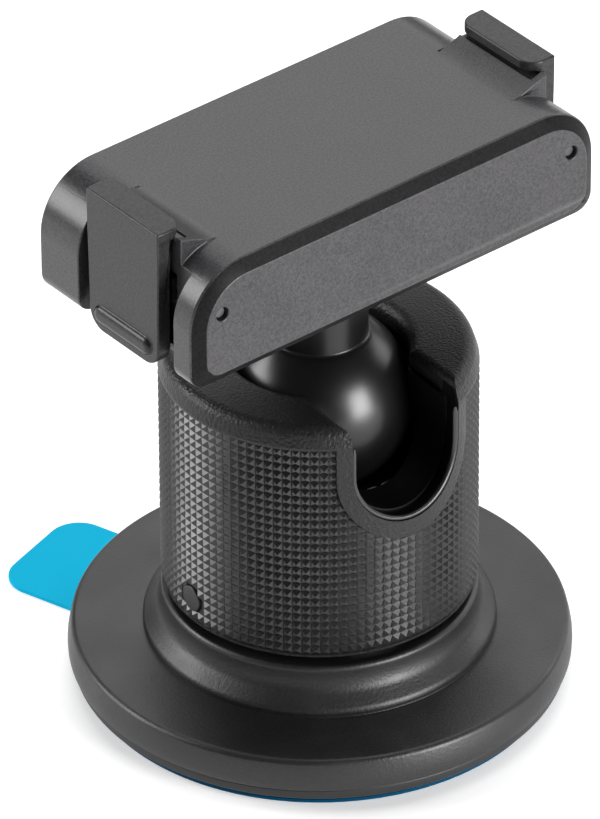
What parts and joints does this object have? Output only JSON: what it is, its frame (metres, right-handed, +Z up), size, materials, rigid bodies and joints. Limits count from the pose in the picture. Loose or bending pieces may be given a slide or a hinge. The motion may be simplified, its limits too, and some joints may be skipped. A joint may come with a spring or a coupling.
{
  "type": "quick-release ball mount",
  "caption": "Small adhesive-base ball mount with a notched, knurled locking collar and a magnetic camera seat with sprung side clips.",
  "frame": {"origin": "centre of the round base's underside, on the collar's axis", "axes": "+Z up along the collar's axis; X along the camera seat from clip to clip; the collar's notch faces about -Y"},
  "size_m": [0.043, 0.0508, 0.0553],
  "materials": {
    "seat_plastic": "fine moulded grain",
    "clip_plastic": "fine moulded grain",
    "cover_plastic": "fine moulded grain",
    "collar_plastic": "coarse moulded grain, diamond knurl",
    "core_plastic": "satin",
    "base_plastic": "leather-like moulded grain",
    "plate_plastic": "satin",
    "stud_metal": "satin black coating",
    "post_metal": "dark anodised",
    "seat_liner": "smooth dark nylon",
    "spring_steel": "bright",
    "fastener_steel": "satin",
    "magnet": "nickel plating",
    "adhesive": "soft translucent foam tape, tinted by the film under it",
    "release_film": "satin blue film"
  },
  "bodies": {
    "base": {"release_liner": "release_film", "adhesive_pad": "adhesive", "lower_plate": "plate_plastic", "base_disc": "base_plastic", "base_screws": "fastener_steel", "threaded_post": "post_metal", "spring_washers": "spring_steel", "ball_seat": "seat_liner"},
    "collar": {"clamp_core": "core_plastic", "grip_sleeve": "collar_plastic", "stop_screw": "fastener_steel", "screw_plug": "core_plastic"},
    "stud": {"ball_stud": "stud_metal", "swivel_screw": "fastener_steel"},
    "seat": {"seat_housing": "seat_plastic", "bottom_cover": "cover_plastic", "cover_screws": "fastener_steel", "yoke_plate": "spring_steel", "seat_magnets": "magnet", "clip_pins": "fastener_steel", "clip_spring_left": "spring_steel", "clip_spring_right": "spring_steel"},
    "left_clip": {"clip_left": "clip_plastic"},
    "right_clip": {"clip_right": "clip_plastic"}
  },
  "joints": [
    {"name": "collar_turn", "type": "hinge", "parent": "base", "child": "collar", "pos_m": [0, 0, 0.0275], "axis": [0, 0, 1], "range_deg": [-180, 180]},
    {"name": "ball_tilt", "type": "hinge", "parent": "collar", "child": "stud", "pos_m": [0, 0, 0.0275], "axis": [0.9981, -0.061, 0], "range_deg": [-24, 90]},
    {"name": "seat_spin", "type": "hinge", "parent": "stud", "child": "seat", "pos_m": [0, 0, 0.0442], "axis": [0, 0, 1], "continuous": true},
    {"name": "left_clip_press", "type": "hinge", "parent": "seat", "child": "left_clip", "pos_m": [-0.0186, 0, 0.04925], "axis": [0, -1, 0], "range_deg": [0, 8], "stiffness_Nm_per_rad": 0.02, "springref_deg": -8.59},
    {"name": "right_clip_press", "type": "hinge", "parent": "seat", "child": "right_clip", "pos_m": [0.0186, 0, 0.04925], "axis": [0, 1, 0], "range_deg": [0, 8], "stiffness_Nm_per_rad": 0.02, "springref_deg": -8.59}
  ]
}
